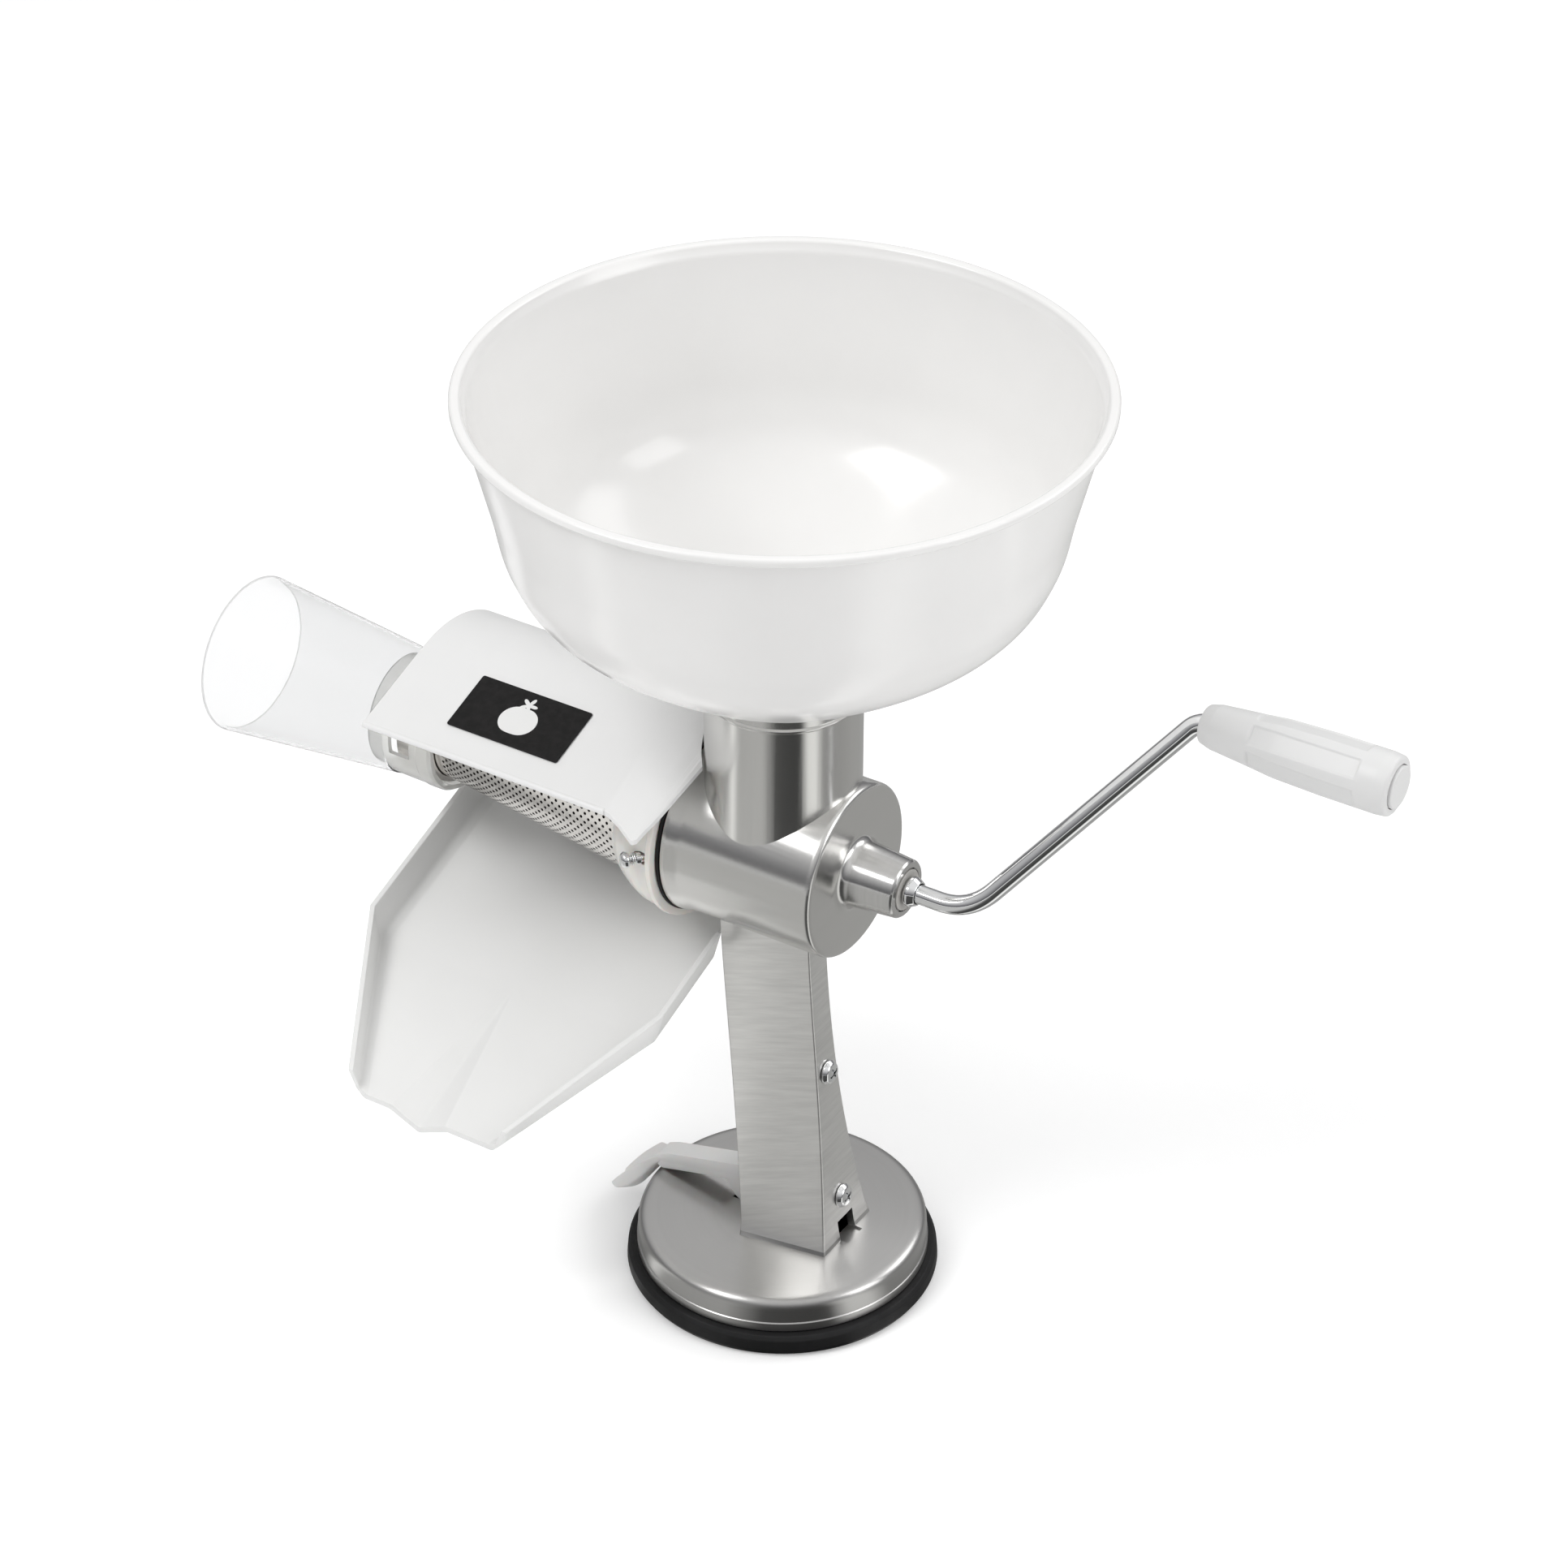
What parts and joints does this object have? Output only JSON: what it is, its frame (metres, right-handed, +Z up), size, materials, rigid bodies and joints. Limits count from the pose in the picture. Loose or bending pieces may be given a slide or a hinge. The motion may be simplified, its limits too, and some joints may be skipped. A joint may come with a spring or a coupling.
{
  "type": "food mill",
  "caption": "Hand-cranked food mill on a suction base, with a round hopper, a feed spiral in a perforated cone, a splash hood, a sauce tray and a clear pulp outlet.",
  "frame": {"origin": "centre of the suction pad's flat underside, on the counter", "axes": "+X along the barrel towards the crank, -Y towards the sauce tray, +Z up through the hopper"},
  "size_m": [0.4857, 0.242, 0.401],
  "materials": {
    "cast_aluminium": "satin, brushed lengthwise on the barrel and across the post",
    "black_rubber": "matte",
    "stainless_steel": "satin",
    "chrome": "mirror polished",
    "hopper_plastic": "glossy warm white",
    "shield_plastic": "satin white",
    "chute_plastic": "glossy white",
    "grip_plastic": "matte white",
    "translucent_nylon": "milky, slightly translucent",
    "spiral_nylon": "smooth white",
    "collar_plastic": "milky cream",
    "bushing_plastic": "grey, smooth",
    "clear_plastic": "clear",
    "label_film": "matte printed film"
  },
  "bodies": {
    "base": {"body_casting": "cast_aluminium", "suction_pad": "black_rubber", "crank_bushing": "bushing_plastic", "barrel_gasket": "black_rubber", "lever_bracket": "stainless_steel", "bracket_screw_upper": "stainless_steel", "bracket_screw_lower": "stainless_steel"},
    "crank": {"crank_rod": "chrome", "crank_collar": "chrome", "spiral": "spiral_nylon", "spiral_spring": "stainless_steel"},
    "grip": {"crank_grip": "grip_plastic", "grip_end_plug": "grip_plastic"},
    "lever": {"suction_lever": "translucent_nylon", "lever_drive_pin": "stainless_steel"},
    "stud": {"pull_stud": "stainless_steel"},
    "hopper": {"hopper": "hopper_plastic"},
    "screen": {"screen_cone": "stainless_steel", "screen_collar": "collar_plastic", "screen_end_ring": "stainless_steel", "collar_lug": "collar_plastic"},
    "waste": {"waste_coupling": "clear_plastic", "waste_cone": "clear_plastic"},
    "shield": {"splash_shield": "shield_plastic", "shield_label": "label_film"},
    "chute": {"sauce_chute": "chute_plastic"},
    "lock_screw": {"lock_screw": "chrome", "lock_screw_spring": "chrome"}
  },
  "joints": [
    {"name": "crank_turn", "type": "hinge", "parent": "base", "child": "crank", "pos_m": [0, 0, 0.2025], "axis": [1, 0, 0], "continuous": true},
    {"name": "grip_spin", "type": "hinge", "parent": "crank", "child": "grip", "pos_m": [0.19, 0.0475, 0.28477], "axis": [1, 0, 0], "continuous": true},
    {"name": "lever_swing", "type": "hinge", "parent": "base", "child": "lever", "pos_m": [-0.006, 0, 0.04], "axis": [0, 1, 0], "range_deg": [0, 80]},
    {"name": "stud_drop", "type": "slide", "parent": "base", "child": "stud", "axis": [0, 0, -1], "range_m": [0, 0.0055]},
    {"name": "hopper_lift", "type": "slide", "parent": "base", "child": "hopper", "axis": [0, 0, 1], "range_m": [0, 0.12]},
    {"name": "screen_pull", "type": "slide", "parent": "base", "child": "screen", "axis": [-1, 0, 0], "range_m": [0, 0.15]},
    {"name": "waste_pull", "type": "slide", "parent": "screen", "child": "waste", "axis": [-1, 0, 0], "range_m": [0, 0.1]},
    {"name": "shield_pull", "type": "slide", "parent": "screen", "child": "shield", "axis": [-1, 0, 0], "range_m": [0, 0.1]},
    {"name": "chute_drop", "type": "slide", "parent": "screen", "child": "chute", "axis": [0, 0, -1], "range_m": [0, 0.025]},
    {"name": "lock_screw_turn", "type": "hinge", "parent": "screen", "child": "lock_screw", "pos_m": [-0.0398, -0.0378, 0.204], "axis": [-0.7071, -0.7071, 0], "range_deg": [0, 720]}
  ],
  "couplings": [
    {"joint": "stud_drop", "follows": "lever_swing", "m_per_rad": 0.00393}
  ]
}
